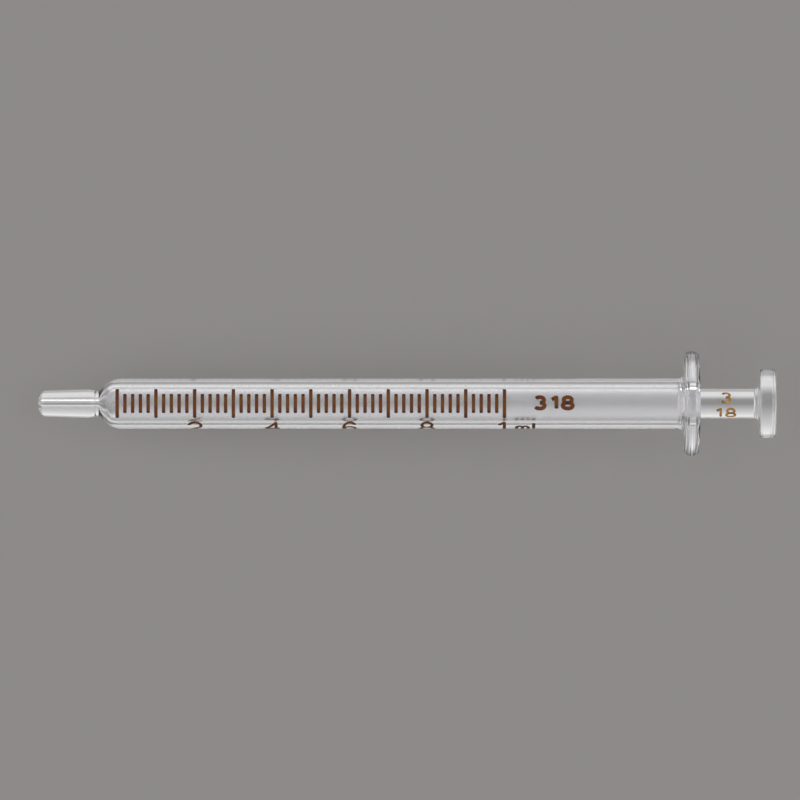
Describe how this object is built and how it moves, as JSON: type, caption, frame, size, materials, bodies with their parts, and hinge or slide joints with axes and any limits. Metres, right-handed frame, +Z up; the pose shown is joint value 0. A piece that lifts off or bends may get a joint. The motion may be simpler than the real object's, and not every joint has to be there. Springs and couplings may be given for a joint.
{
  "type": "glass tuberculin syringe",
  "caption": "Slim all-glass syringe with a slip tip, a fired brown measuring scale, a round finger flange and a ground glass plunger that slides in its bore.",
  "frame": {"origin": "on the table, under the middle of the syringe's length", "axes": "+X from the tip to the thumb button, +Z up from the table, scale facing up"},
  "size_m": [0.1146, 0.0162, 0.0163],
  "materials": {
    "barrel_glass": "clear polished glass, finely ground inside the bore and on the tip",
    "plunger_glass": "clear polished glass, finely ground over the length that runs in the bore",
    "scale_enamel": "fired brown enamel"
  },
  "bodies": {
    "barrel": {"barrel": "barrel_glass", "graduation_lines": "scale_enamel"},
    "plunger": {"plunger": "plunger_glass"}
  },
  "joints": [
    {"name": "plunger_slide", "type": "slide", "parent": "barrel", "child": "plunger", "axis": [0.9988, 0, 0.0481], "range_m": [0, 0.095]}
  ]
}
